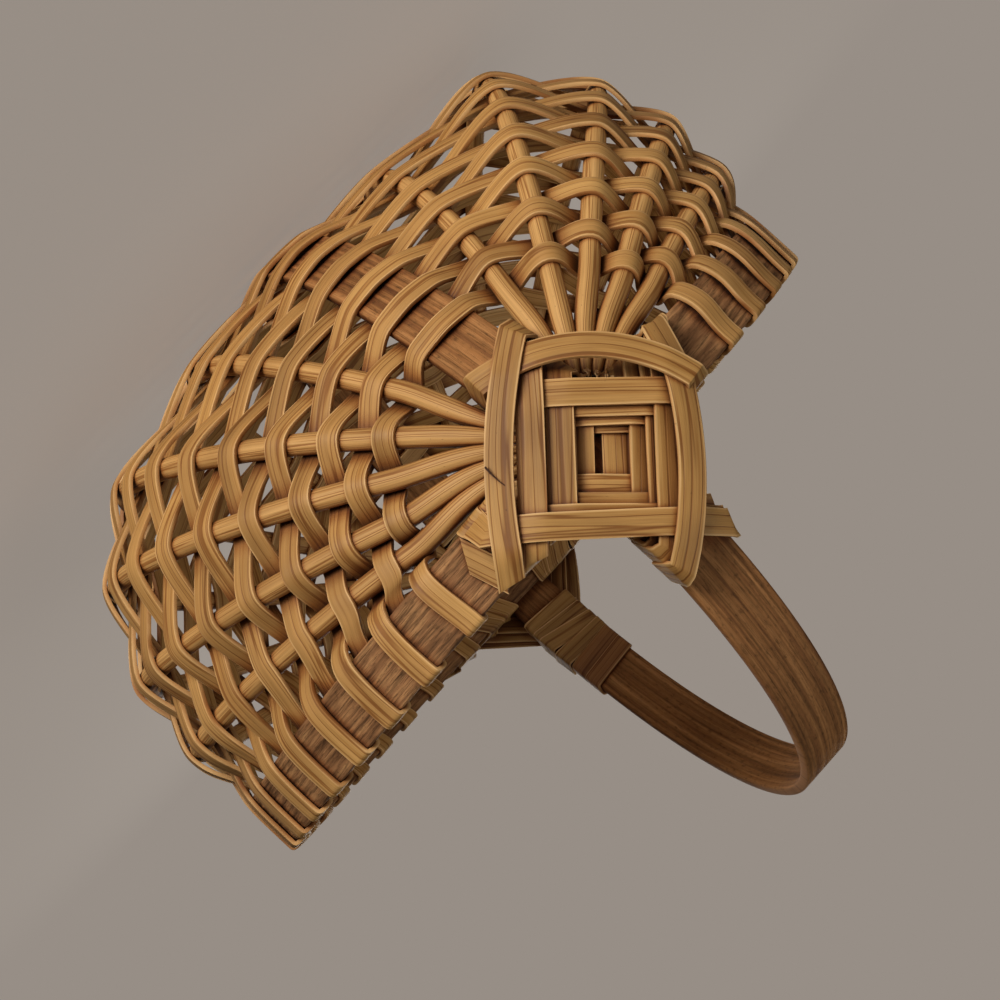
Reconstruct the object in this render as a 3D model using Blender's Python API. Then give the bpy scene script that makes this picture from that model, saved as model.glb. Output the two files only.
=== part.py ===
"""Egg basket of flat reed, woven over two bent-wood hoops and ten round-reed ribs.

Metres, +Z up. The two ears, where the hoops cross, are at +X and -X, and the handle arches over
them in the XZ plane. The right lobe is at +Y and the left lobe at -Y, seen from the +X ear.
The origin is where the middle weaver rests on the ground, under the keel.
"""
import math

import bmesh
import bpy
import numpy as np

# Hoops: strips of bent wood. One stands as handle and keel, the other lies as the rim inside it.
hoop_half_length = 0.1016
hoop_width = 0.0159
hoop_thickness = 0.003
handle_rise = 0.0998
keel_drop = 0.1010
rim_reach_right = 0.1085
rim_reach_left = 0.0968
rim_rise_right = 0.0031
rim_sag_left = 0.0070
# Fullness is the power of the sine in each bow: 1 is an ellipse, more is leaner towards the ears.
handle_fullness = 1.0
rim_fullness = 0.92
keel_fullness = 1.38
hoop_steps = 36

# Ribs, from the keel (first) to the rim (last).
rib_diameter = 0.0054
rib_tip_diameter = 0.0022
rib_fullness = 1.42
rib_out_shares_right = (0.37, 0.72, 0.91, 1.03, 1.06)
rib_drop_shares_right = (0.925, 0.84, 0.68, 0.45, 0.235)
rib_out_shares_left = (0.345, 0.75, 0.955, 1.016, 1.008)
rib_drop_shares_left = (0.955, 0.935, 0.705, 0.495, 0.296)
rib_ear_degrees_right = (66.5, 54.8, 41.4, 30.0, 22.0)
rib_ear_degrees_left = (62.5, 53.8, 45.0, 34.9, 26.0)
# Inside the lashing the rib ends are drawn together in the pocket between keel and rim.
rib_pocket_degrees = (61.2, 53.1, 45.0, 36.9, 28.8)
rib_tip_reach = 0.0222
rib_taper_reach = 0.0370
rib_fan_start = 0.0150
rib_fan_end = 0.0450
rib_steps = 34

# Flat reed of the weavers and the lashings.
reed_width = 0.0061
reed_thickness = 0.0010
seat_gap = 0.0003

# Weaving: every row runs from rim to rim, over and under, and turns over the rim into the next.
weaver_rows = 33
first_row_on_hoops = 0.0468
first_row_on_ribs = 0.0474
first_row_near_left = 0.0500
first_row_far_left = 0.0475
turn_lead_share = 0.3
corner_ease_share = 1.15
corner_least_ease = 0.0010
steepest_lean_sine = 0.99
splice_gap = 0.0008
# A weaver ends behind an element, where the next one starts: row, element counted from the right rim.
splices = ((6, 3), (11, 8), (16, 5), (20, 9), (26, 7))

# Lashing: a square spiral of flat reed over the crossing of the hoops, from the middle outwards.
# The inner turns are laid flat on the crossing; the outer ones go behind each arm they meet.
lashing_flat_sides = 16
lashing_sides = 24
lashing_wide_sides = 4
# Counted round the ear, sides 2 and 3 lie beside the keel, where the ribs come out.
lashing_rib_sides = (2, 3)
lashing_first_reach = 0.0045
lashing_last_reach = 0.0306
lashing_inner_gap = 0.0004
lashing_inner_width = 0.0021
lashing_step_lead = 0.0030
lashing_step_run = 0.0110
lashing_cross_gap = 0.0009
lashing_pocket_bulge = 0.0030
lashing_tail_drift = 0.0010

bow_samples = 1441
bow_half_samples = bow_samples // 2
pair_share = 0.5
diagonal = math.sqrt(2.0)
arm_count = 4

# Colour (linear red, green and blue) and roughness of each kind of piece.
finishes = {
    "hoop": ((0.235, 0.118, 0.058), 0.70),
    "rib": ((0.470, 0.270, 0.105), 0.55),
    "weaver": ((0.440, 0.250, 0.100), 0.60),
    "lashing": ((0.480, 0.300, 0.135), 0.60),
}

half_width = hoop_width * pair_share
half_thickness = hoop_thickness * pair_share
rib_radius = rib_diameter * pair_share
rib_tip_radius = rib_tip_diameter * pair_share
reed_half = reed_thickness * pair_share
reed_offset = seat_gap + reed_half
rest_height = keel_drop + seat_gap + reed_thickness


sideways_axis = np.array([0.0, 1.0, 0.0])
upwards_axis = np.array([0.0, 0.0, 1.0])


def unit(vectors):
    lengths = np.linalg.norm(vectors, axis=-1, keepdims=True)
    return vectors / lengths


class Bow:
    """A piece bent from the ear at +X to the ear at -X, measured along its own length."""

    def __init__(self, points, radius, flat_half):
        steps = np.linalg.norm(np.diff(points, axis=0), axis=1)
        self.points = points
        self.along = np.concatenate([[0.0], np.cumsum(steps)])
        self.length = self.along[-1]
        self.radius = radius
        self.flat_half = flat_half
        self.tangents = unit(np.gradient(points, self.along, axis=0))

    def point(self, distance):
        return np.array([np.interp(distance, self.along, self.points[:, axis]) for axis in range(3)])

    def tangent(self, distance):
        tangent = [np.interp(distance, self.along, self.tangents[:, axis]) for axis in range(3)]
        return unit(np.array(tangent))


def bow_angles():
    return np.linspace(0.0, math.pi, bow_samples)


def handle_bow():
    angles = bow_angles()
    rise = (handle_rise - half_thickness) * np.sin(angles) ** handle_fullness
    ahead = (hoop_half_length - half_thickness) * np.cos(angles)
    points = np.stack([ahead, 0.0 * angles, rise], axis=1)
    return Bow(points, half_thickness, half_width)


def keel_bow():
    angles = bow_angles()
    drop = (keel_drop - half_thickness) * np.sin(angles) ** keel_fullness
    ahead = (hoop_half_length - half_thickness) * np.cos(angles)
    points = np.stack([ahead, 0.0 * angles, -drop], axis=1)
    return Bow(points, half_thickness, half_width)


def rim_half_length():
    """Where the rim hoop fits inside the handle hoop, whose keel side narrows below the ears."""
    keel = keel_bow()
    depths = -keel.points[:bow_half_samples, 2]
    edge = float(np.interp(half_width, depths, keel.along[:bow_half_samples]))
    inner_face = keel.point(edge) - half_thickness * hoop_normal(keel, edge, sideways_axis)
    return float(inner_face[0]) - seat_gap - half_thickness


def rim_bow(side):
    """Half of the rim hoop, which passes inside the handle hoop at both ears."""
    angles = bow_angles()
    reach = rim_reach_right if side > 0 else rim_reach_left
    rise = rim_rise_right if side > 0 else -rim_sag_left
    out = (reach - half_thickness) * np.sin(angles) ** rim_fullness
    lift = rise * np.sin(angles) ** 2
    points = np.stack([rim_half_length() * np.cos(angles), side * out, lift], axis=1)
    return Bow(points, half_thickness, half_width)


def rib_shape(side, number):
    """Reach from the long axis and angle below the rim plane, for each angle along the bow."""
    outs = rib_out_shares_right if side > 0 else rib_out_shares_left
    drops = rib_drop_shares_right if side > 0 else rib_drop_shares_left
    ear_degrees = rib_ear_degrees_right if side > 0 else rib_ear_degrees_left
    middle_reach = hoop_half_length * math.hypot(outs[number], drops[number])
    middle_angle = math.atan2(drops[number], outs[number])
    ear_angle = math.radians(ear_degrees[number])
    angles = bow_angles()
    reach = middle_reach * np.sin(angles) ** rib_fullness
    bow_slope = ear_angle + (middle_angle - ear_angle) * np.sin(angles)
    spread = np.clip((reach - rib_fan_start) / (rib_fan_end - rib_fan_start), 0.0, 1.0)
    spread = spread * spread * (3.0 - 2.0 * spread)
    pocket_angle = math.radians(rib_pocket_degrees[number])
    slope = pocket_angle + (bow_slope - pocket_angle) * spread
    return angles, reach, slope


def rib_bow(side, number):
    angles, reach, slope = rib_shape(side, number)
    across = side * reach * np.cos(slope)
    down = -reach * np.sin(slope)
    ahead = (hoop_half_length - half_thickness) * np.cos(angles)
    points = np.stack([ahead, across, down], axis=1)
    return Bow(points, rib_radius, 0.0)


def make_material(name, kind):
    colour, roughness = finishes[kind]
    material = bpy.data.materials.new(name)
    material.use_nodes = True
    shader = material.node_tree.nodes["Principled BSDF"]
    shader.inputs["Base Color"].default_value = (*colour, 1.0)
    shader.inputs["Roughness"].default_value = roughness
    shader.inputs["Metallic"].default_value = 0.0
    return material


def place(piece, name, kind):
    """Link a finished piece, lift it so that the basket rests on the ground, and colour it."""
    piece.name = name
    piece.location.z = rest_height
    piece.data.materials.append(make_material(name + "_finish", kind))
    bpy.context.scene.collection.objects.link(piece)
    return piece


def loft(name, sections, closed):
    """A solid through four-cornered sections, capped at its ends unless it closes on itself."""
    shape = bmesh.new()
    rings = [[shape.verts.new(corner) for corner in section] for section in sections]
    pairs = list(zip(rings, rings[1:]))
    if closed:
        pairs.append((rings[-1], rings[0]))
    for ring, following in pairs:
        for corner in range(len(ring)):
            after = (corner + 1) % len(ring)
            shape.faces.new((ring[corner], ring[after], following[after], following[corner]))
    if not closed:
        shape.faces.new(rings[0])
        shape.faces.new(rings[-1])
    bmesh.ops.recalc_face_normals(shape, faces=shape.faces[:])
    bmesh.ops.triangulate(shape, faces=shape.faces[:], quad_method="SHORT_EDGE")
    mesh = bpy.data.meshes.new(name)
    shape.to_mesh(mesh)
    shape.free()
    return bpy.data.objects.new(name, mesh)


def hoop_section(bow, distance, across):
    """The four corners of a hoop strip; across is the direction of its width."""
    centre = bow.point(distance)
    outwards = hoop_normal(bow, distance, across)
    wide = across * bow.flat_half
    thick = outwards * bow.radius
    return (centre - wide - thick, centre + wide - thick, centre + wide + thick, centre - wide + thick)


def hoop_normal(bow, distance, across):
    normal = unit(np.cross(across, bow.tangent(distance)))
    if np.dot(normal, bow.point(distance)) < 0.0:
        normal = -normal
    return normal


def hoop_sections(first, second, across):
    """Sections round a whole hoop: out along the first bow and back along the second."""
    sections = []
    for step in range(hoop_steps):
        sections.append(hoop_section(first, first.length * step / hoop_steps, across))
    for step in range(hoop_steps):
        sections.append(hoop_section(second, second.length * (1.0 - step / hoop_steps), across))
    return sections


def make_hoops(handle, keel, rims):
    upright = loft("handle_hoop", hoop_sections(handle, keel, sideways_axis), True)
    place(upright, "handle_hoop", "hoop")
    lying = loft("rim_hoop", hoop_sections(rims[0], rims[1], upwards_axis), True)
    place(lying, "rim_hoop", "hoop")


def make_rib(name, side, number):
    """A round rod along its bow, tapered where its ends are tucked into the lashings."""
    angles, reach, slope = rib_shape(side, number)
    bow = rib_bow(side, number)
    near_half = slice(0, bow_half_samples)
    tip_distance = float(np.interp(rib_tip_reach, reach[near_half], bow.along[near_half]))
    curve = bpy.data.curves.new(name, "CURVE")
    curve.dimensions = "3D"
    curve.bevel_depth = rib_radius
    curve.bevel_resolution = 2
    curve.use_fill_caps = True
    curve.render_resolution_u = 0
    spline = curve.splines.new("POLY")
    spline.points.add(rib_steps)
    for step in range(rib_steps + 1):
        distance = tip_distance + (bow.length - 2.0 * tip_distance) * step / rib_steps
        here = float(np.interp(distance, bow.along, reach))
        taper = min(max((here - rib_tip_reach) / (rib_taper_reach - rib_tip_reach), 0.0), 1.0)
        radius = rib_tip_radius + (rib_radius - rib_tip_radius) * taper
        spline.points[step].co = (*bow.point(distance), 1.0)
        spline.points[step].radius = radius / rib_radius
    place(bpy.data.objects.new(name, curve), name, "rib")


class Weave:
    """The thirteen elements that the weavers cross, from the right rim to the left rim."""

    def __init__(self, keel, rims, ribs_right, ribs_left):
        self.elements = [rims[0]] + ribs_right[::-1] + [keel] + ribs_left + [rims[1]]
        self.last = len(self.elements) - 1
        self.keel = self.elements.index(keel)

    def station(self, row, element):
        """Distance of a row along an element, from the +X ear."""
        length = self.elements[element].length
        start = first_row_on_ribs
        end = first_row_on_ribs
        if element in (0, self.keel, self.last):
            start = first_row_on_hoops
            end = first_row_on_hoops
        elif element > self.keel:
            start = first_row_near_left
            end = first_row_far_left
        return start + (length - start - end) * row / (weaver_rows - 1)

    def frame(self, row, element, extra=0.0):
        """Centre, tangent, outward normal and the direction towards the next element."""
        bow = self.elements[element]
        distance = self.station(row, element) + extra
        centre = bow.point(distance)
        tangent = bow.tangent(distance)
        if element in (0, self.last):
            normal = hoop_normal(bow, distance, upwards_axis)
        elif element == self.keel:
            normal = hoop_normal(bow, distance, sideways_axis)
        else:
            before = self.elements[element - 1]
            after = self.elements[element + 1]
            ahead = after.point(self.station(row, element + 1))
            gap = ahead - before.point(self.station(row, element - 1))
            normal = unit(np.cross(gap, tangent))
        onwards = np.cross(tangent, normal)
        return centre, tangent, normal, onwards

    def side(self, row, element):
        """Outside is 1 and inside is -1; rims and keel are crossed outside by the even rows."""
        return 1.0 if (row + element) % 2 == 0 else -1.0

    def corner_reach(self, row, element, towards):
        """How far from the element's centre the strip starts to slant to the next element."""
        bow = self.elements[element]
        other = self.elements[element + towards]
        centre, tangent, normal, onwards = self.frame(row, element)
        far_centre, far_tangent, far_normal, far_onwards = self.frame(row, element + towards)
        here = centre + towards * bow.flat_half * onwards
        there = far_centre - towards * other.flat_half * far_onwards
        span = there - here
        lift = bow.radius + reed_offset
        other_lift = other.radius + reed_offset
        lean = math.asin(min((lift + other_lift) / np.linalg.norm(span), steepest_lean_sine))
        fall = -self.side(row, element) * np.dot(span, normal)
        dip = math.atan2(fall, towards * np.dot(span, onwards))
        ease = lift * math.tan(pair_share * max(lean + dip, 0.0)) * corner_ease_share
        return bow.flat_half + max(ease, corner_least_ease)

    def corner(self, row, element, towards):
        """A bend of the strip beside an element: its point and the direction of its width."""
        centre, tangent, normal, onwards = self.frame(row, element)
        reach = self.corner_reach(row, element, towards)
        lift = self.elements[element].radius + reed_offset
        point = centre + towards * reach * onwards + self.side(row, element) * lift * normal
        return point, tangent

    def rim_top(self, row, element, extra):
        """The bend where a strip turns over the top edge of the rim."""
        centre, tangent, normal, onwards = self.frame(row, element, extra)
        outer = 1.0 if element == self.last else -1.0
        lift = self.elements[element].radius + reed_offset
        reach = half_width + reed_offset
        point = centre + outer * reach * onwards + self.side(row, element) * lift * normal
        return point, tangent

    def behind(self, row, element, shift):
        """A point straight behind or in front of an element, shifted along the row."""
        centre, tangent, normal, onwards = self.frame(row, element)
        lift = self.elements[element].radius + reed_offset
        return centre + shift * onwards + self.side(row, element) * lift * normal, tangent

    def turn_lead(self, row, next_row, element):
        return turn_lead_share * (self.station(next_row, element) - self.station(row, element))


def weaver_paths(weave):
    """The bends of every weaver: one long path, cut at the splices."""
    paths = [[]]
    for row in range(weaver_rows):
        onwards = 1 if row % 2 == 0 else -1
        order = range(weave.last + 1) if onwards > 0 else range(weave.last, -1, -1)
        for element in order:
            path = paths[-1]
            first = element == order[0]
            last = element == order[-1]
            if first:
                lead = 0.0 if row == 0 else weave.turn_lead(row, row - 1, element)
                path.append(weave.rim_top(row, element, lead))
                path.append(weave.corner(row, element, onwards))
            elif last:
                lead = 0.0 if row == weaver_rows - 1 else weave.turn_lead(row, row + 1, element)
                path.append(weave.corner(row, element, -onwards))
                path.append(weave.rim_top(row, element, lead))
            else:
                path.append(weave.corner(row, element, -onwards))
                if (row, element) in splices:
                    path.append(weave.behind(row, element, -onwards * splice_gap * pair_share))
                    paths.append([weave.behind(row, element, onwards * splice_gap * pair_share)])
                paths[-1].append(weave.corner(row, element, onwards))
    return paths


def hook_ends(weave, paths):
    """The first and the last weaver start and end inside the rim, hooked over its top edge."""
    for path, row, element in ((paths[0], 0, 0), (paths[-1], weaver_rows - 1, weave.last)):
        centre, tangent, normal, onwards = weave.frame(row, element)
        outer = 1.0 if element == weave.last else -1.0
        lift = half_thickness + reed_offset
        top = centre + outer * (half_width + reed_offset) * onwards - lift * normal
        tail = centre - outer * half_width * onwards - lift * normal
        if row == 0:
            path.insert(0, (top, tangent))
            path.insert(0, (tail, tangent))
        else:
            path.append((top, tangent))
            path.append((tail, tangent))


def strip_sections(path):
    """Mitred sections of a flat strip that bends at each point of its path."""
    points = np.array([point for point, width in path])
    widths = np.array([width for point, width in path])
    runs = unit(np.diff(points, axis=0))
    sections = []
    for index, (point, width) in enumerate(zip(points, widths)):
        arriving = runs[max(index - 1, 0)]
        leaving = runs[min(index, len(runs) - 1)]
        heading = unit(arriving + leaving)
        half_turn = math.acos(min(max(float(np.dot(arriving, leaving)), -1.0), 1.0)) * pair_share
        normal = unit(np.cross(width, heading))
        thick = normal * reed_half / max(math.cos(half_turn), pair_share)
        wide = width * reed_width * pair_share
        under = (point - wide - thick, point + wide - thick)
        over = (point + wide + thick, point - wide + thick)
        sections.append(under + over)
    return sections


def make_weavers(weave):
    paths = weaver_paths(weave)
    hook_ends(weave, paths)
    for number, path in enumerate(paths):
        name = f"weaver_{number + 1}"
        place(loft(name, strip_sections(path), False), name, "weaver")


class Arm:
    """One of the four hoop arms at an ear, with the side from which the reed arrives."""

    def __init__(self, bow, arriving):
        self.bow = bow
        self.arriving = np.array(arriving)
        self.sunk = hoop_half_length - half_thickness - float(bow.points[0][0])

    def place(self, distance, sideways, height):
        """A point by its distance along the arm, its sideways place and its height over it."""
        # Before the ear itself the arm is followed straight on, along its first tangent.
        inside = max(distance, 0.0)
        normal = hoop_normal(self.bow, inside, self.arriving)
        centre = self.bow.point(inside) + self.bow.tangent(inside) * (distance - inside)
        return centre + sideways * self.arriving + (half_thickness + height) * normal

    def step(self, distance):
        """The handle hoop crosses over the rim arms, so the reed starts higher there."""
        fall = min(max((distance - half_width - lashing_step_lead) / lashing_step_run, 0.0), 1.0)
        return self.sunk * (1.0 - fall)


def lashing_reaches():
    """Reach along the arms and strip width of every side of the square spiral."""
    inner_sides = lashing_sides - lashing_wide_sides
    wide_pitch = ((lashing_inner_width + reed_width) * pair_share + lashing_inner_gap) * diagonal
    side_pitch = (lashing_last_reach - wide_pitch - lashing_first_reach) / (inner_sides - 1)
    reaches = [lashing_first_reach + side_pitch * side for side in range(inner_sides)]
    strip_widths = [lashing_inner_width] * inner_sides
    for side in range(inner_sides, lashing_sides):
        reaches.append(reaches[side - arm_count] + wide_pitch)
        strip_widths.append(reed_width)
    return reaches, strip_widths


def front_section(arm, run, sideways, base, width, turn):
    """A section square to a strip that crosses an arm at 45 degrees, on its front."""
    shift = width * pair_share / diagonal
    corners = []
    for edge, height in ((-1, base), (1, base), (1, base + reed_thickness), (-1, base + reed_thickness)):
        distance = run + edge * shift
        corners.append(arm.place(distance, sideways + turn * edge * shift, height + arm.step(distance)))
    return corners


def hub_section(start, finish, reach, base, width):
    """The middle of a side that is too short to leave the crossing of the hoops."""
    half = reach * pair_share
    leaving = front_section(start, half, -half, base, width, -1.0)
    arriving = front_section(finish, half, half, base, width, 1.0)
    corners = []
    for first, second in zip(leaving, arriving):
        corner = (first + second) * pair_share
        corner[0] = max(first[0], second[0])
        corners.append(corner)
    return corners


def fold_section(arm, run, sideways, base, half_length):
    """A section along an arm: where the strip turns on its middle, or goes over its edge."""
    corners = []
    for edge, height in ((-1, base), (1, base), (1, base + reed_thickness), (-1, base + reed_thickness)):
        distance = run + edge * half_length
        corners.append(arm.place(distance, sideways, height + arm.step(distance)))
    return corners


def edge_section(arm, run, edge_side, width):
    """A section where the strip passes the edge of an arm."""
    corners = []
    for edge, away in ((-1, 0.0), (1, 0.0), (1, reed_thickness), (-1, reed_thickness)):
        sideways = edge_side * (half_width + seat_gap + away)
        corners.append(arm.place(run + edge * width * pair_share, sideways, -half_thickness))
    return corners


def back_section(arm, run, sideways, width):
    """A section along the edge of an arm, behind it."""
    corners = []
    for edge, away in ((-1, 0.0), (1, 0.0), (1, reed_thickness), (-1, reed_thickness)):
        height = -hoop_thickness - seat_gap - away
        corners.append(arm.place(run + edge * width * pair_share, sideways, height))
    return corners


def lashing_side(arms, side, reaches, strip_widths):
    """Sections of one side of the spiral, from one arm to the next."""
    start = arms[(side - 1) % arm_count]
    finish = arms[side % arm_count]
    reach = reaches[side]
    width = strip_widths[side]
    low = seat_gap
    high = seat_gap + reed_thickness + lashing_cross_gap
    edge_run = reach + half_width
    edge_place = half_width + seat_gap
    leave_base = low
    sections = []
    if side <= lashing_flat_sides:
        turn_reach = (reaches[max(side - 1, 0)] + reach) * pair_share
        sections.append(fold_section(start, turn_reach, 0.0, low, width / diagonal))
    else:
        # On an arm, the side that arrives lies low and the one that leaves it lies on top.
        leave_base = high
        sections.append(edge_section(start, edge_run, 1.0, width))
        sections.append(fold_section(start, edge_run, edge_place, high, width / diagonal))
        sections.append(front_section(start, reach, 0.0, high, width, -1.0))
    clear_of_arm = half_width + seat_gap + width * pair_share / diagonal
    if reach > 2.0 * clear_of_arm:
        leave = front_section(start, reach - clear_of_arm, -clear_of_arm, leave_base, width, -1.0)
        arrive = front_section(finish, reach - clear_of_arm, clear_of_arm, low, width, 1.0)
        sections.append(leave)
        if side % arm_count in lashing_rib_sides and width == reed_width:
            # The two widest lower sides bulge over the ends of the ribs.
            middle = (np.array(leave) + np.array(arrive)) * pair_share
            middle[:, 0] += lashing_pocket_bulge
            sections.append(list(middle))
        sections.append(arrive)
    else:
        sections.append(hub_section(start, finish, reach, low, width))
    if side >= lashing_flat_sides:
        sections.append(front_section(finish, reach, 0.0, low, width, 1.0))
        sections.append(fold_section(finish, edge_run, -edge_place, low, width / diagonal))
        sections.append(edge_section(finish, edge_run, -1.0, width))
        sections.append(back_section(finish, edge_run, -edge_place, width))
        if side + 1 < lashing_sides:
            sections.append(back_section(finish, reaches[side + 1] + half_width, edge_place, width))
        else:
            sections.append(back_section(finish, edge_run + lashing_tail_drift, 0.0, width))
    return sections


def make_lashing(name, ear, handle, keel, rims):
    """The spiral is laid out at the +X ear; the one at the -X ear is its mirror image."""
    arms = (
        Arm(handle, (0.0, 1.0, 0.0)),
        Arm(rims[1], (0.0, 0.0, 1.0)),
        Arm(keel, (0.0, -1.0, 0.0)),
        Arm(rims[0], (0.0, 0.0, -1.0)),
    )
    reaches, strip_widths = lashing_reaches()
    sections = []
    for side in range(lashing_sides):
        sections.extend(lashing_side(arms, side, reaches, strip_widths))
    mirror = np.array([ear, 1.0, 1.0])
    sections = [[corner * mirror for corner in section] for section in sections]
    place(loft(name, sections, False), name, "lashing")


def clear_scene():
    for piece in list(bpy.data.objects):
        bpy.data.objects.remove(piece, do_unlink=True)


def main():
    clear_scene()
    handle = handle_bow()
    keel = keel_bow()
    rims = (rim_bow(1.0), rim_bow(-1.0))
    numbers = range(len(rib_out_shares_right))
    ribs_right = [rib_bow(1.0, number) for number in numbers]
    ribs_left = [rib_bow(-1.0, number) for number in numbers]
    make_hoops(handle, keel, rims)
    for number in numbers:
        make_rib(f"rib_right_{number + 1}", 1.0, number)
        make_rib(f"rib_left_{number + 1}", -1.0, number)
    make_weavers(Weave(keel, rims, ribs_right, ribs_left))
    make_lashing("lashing_front", 1.0, handle, keel, rims)
    make_lashing("lashing_back", -1.0, handle, keel, rims)


main()
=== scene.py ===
# %% [markdown]
# An egg basket, woven of reed over two bent hoops and ten ribs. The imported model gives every
# piece its place, so it is loaded first. Each reed, rib and hoop is then made again here with
# its real roundness and grain, and stands for the plain solid of the same name.

# %% Load the frame
import math

import bpy
import numpy as np
from mathutils import Matrix, Vector


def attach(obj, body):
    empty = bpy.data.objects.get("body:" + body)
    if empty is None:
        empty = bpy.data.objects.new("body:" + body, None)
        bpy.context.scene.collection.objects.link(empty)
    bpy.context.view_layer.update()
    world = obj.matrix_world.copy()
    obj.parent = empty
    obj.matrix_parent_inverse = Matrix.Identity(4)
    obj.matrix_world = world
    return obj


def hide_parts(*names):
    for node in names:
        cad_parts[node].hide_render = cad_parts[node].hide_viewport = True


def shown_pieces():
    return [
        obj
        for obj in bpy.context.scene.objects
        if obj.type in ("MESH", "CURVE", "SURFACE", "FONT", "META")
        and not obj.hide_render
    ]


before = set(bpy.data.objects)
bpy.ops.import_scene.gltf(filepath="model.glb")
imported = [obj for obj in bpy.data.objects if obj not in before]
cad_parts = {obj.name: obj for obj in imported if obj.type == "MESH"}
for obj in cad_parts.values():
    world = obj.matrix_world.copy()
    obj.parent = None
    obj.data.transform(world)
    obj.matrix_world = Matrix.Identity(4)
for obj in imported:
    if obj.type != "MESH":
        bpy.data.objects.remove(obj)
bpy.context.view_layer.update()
chance = np.random.RandomState(7)

# %% [markdown]
# All sizes are in metres, angles in degrees where their name says so. The hoops, the rib
# positions and the number of rows are those of the solids. The reeds are laid a little closer
# here, because real ones touch. A rib's out and drop shares say how far its middle lies out and
# down, in half lengths of the hoop. Its ear degrees are its slope where it comes to an ear.

# %% Sizes of the hoops
hoop_half_length = 0.1016
hoop_width = 0.0159
hoop_thickness = 0.003
handle_rise = 0.0998
keel_drop = 0.1010
rim_reach_right = 0.1085
rim_reach_left = 0.0968
rim_rise_right = 0.0031
rim_sag_left = 0.0070
handle_fullness = 1.0
rim_fullness = 0.92
keel_fullness = 1.38
hoop_clearance = 0.0003

# %% Sizes of the ribs
rib_diameter = 0.0054
rib_tip_radius = 0.0009
rib_fullness = 1.42
rib_out_shares_right = (0.37, 0.72, 0.91, 1.03, 1.06)
rib_drop_shares_right = (0.925, 0.84, 0.68, 0.45, 0.235)
rib_out_shares_left = (0.345, 0.75, 0.955, 1.016, 1.008)
rib_drop_shares_left = (0.955, 0.935, 0.705, 0.495, 0.296)
rib_ear_degrees_right = (66.5, 54.8, 41.4, 30.0, 22.0)
rib_ear_degrees_left = (62.5, 53.8, 45.0, 34.9, 26.0)
rib_pocket_degrees = (61.2, 53.1, 45.0, 36.9, 28.8)
rib_tip_reach = 0.0150
rib_taper_reach = 0.0340
rib_fan_start = 0.0150
rib_fan_end = 0.0450
left_rib_setback = 0.0012
left_rib_unevenness = 0.0008
rib_swell = 0.02
rib_swell_radians_per_metre = 70.0

# %% Sizes of the reeds
reed_width = 0.0062
weaver_width = 0.0056
reed_thickness = 0.0011
reed_edge_round = 0.0002
touch_gap = 0.00005
reed_under_keel = 0.0013

half_width = hoop_width / 2
half_thickness = hoop_thickness / 2
reed_half = reed_thickness / 2
rest_height = keel_drop + reed_under_keel
print("hoops lie", round(1000 * rest_height, 1), "mm above the ground")

# %% [markdown]
# A bow is a line from the ear at +X to the ear at -X. It could be drawn as a Bezier curve, but
# every reed has to find its place on it. So a power of the sine gives each bow its fullness, as
# bent wood does when its ends are drawn together, and the line is kept as many close points with
# their distance along it. Anything can then be placed by that distance.


# %% Helpers for lines
def unit(vectors):
    return vectors / np.linalg.norm(vectors, axis=-1, keepdims=True)


def distances_along(points):
    """How far each point of a line is from its start."""
    return np.concatenate([[0.0], np.cumsum(np.linalg.norm(np.diff(points, axis=0), axis=1))])


def smooth_step(share):
    share = np.clip(share, 0.0, 1.0)
    return share * share * (3.0 - 2.0 * share)


# %% Bows
class Bow:
    """A bent line with half the thickness of its strip or rod, and half the width of a strip."""

    samples = 1441
    half = samples // 2
    angles = np.linspace(0.0, math.pi, samples)

    def __init__(self, points, radius, flat_half):
        self.points = points
        self.along = distances_along(points)
        self.length = self.along[-1]
        self.radius = radius
        self.flat_half = flat_half
        self.tangents = unit(np.gradient(points, self.along, axis=0))

    def between(self, values, distance):
        return np.stack([np.interp(distance, self.along, axis) for axis in values.T], axis=-1)

    def point(self, distance):
        return self.between(self.points, distance)

    def tangent(self, distance):
        return unit(self.between(self.tangents, distance))

    def normal(self, distance, across):
        normal = unit(np.cross(across, self.tangent(distance)))
        outward = np.sum(normal * self.point(distance), axis=-1, keepdims=True)
        return normal * np.where(outward < 0.0, -1.0, 1.0)


OUTWARDS = np.array([1.0, 0.0, 0.0])
SIDEWAYS = np.array([0.0, 1.0, 0.0])
UPWARDS = np.array([0.0, 0.0, 1.0])


def upright_bow(height, fullness):
    x = (hoop_half_length - half_thickness) * np.cos(Bow.angles)
    z = height * np.sin(Bow.angles) ** fullness
    return Bow(np.stack([x, np.zeros(Bow.samples), z], axis=1), half_thickness, half_width)


def rim_half_length():
    """The rim's ends lie inside the keel's edges, where they cross at the ears."""
    edge = float(np.interp(half_width, -keel.points[: Bow.half, 2], keel.along[: Bow.half]))
    inner_face = keel.point(edge) - half_thickness * keel.normal(edge, SIDEWAYS)
    return float(inner_face[0]) - hoop_clearance - half_thickness


def rim_bow(side):
    reach = rim_reach_right if side > 0 else rim_reach_left
    rise = rim_rise_right if side > 0 else -rim_sag_left
    out = side * (reach - half_thickness) * np.sin(Bow.angles) ** rim_fullness
    lift = rise * np.sin(Bow.angles) ** 2
    x = rim_half_length() * np.cos(Bow.angles)
    return Bow(np.stack([x, out, lift], axis=1), half_thickness, half_width)


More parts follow.
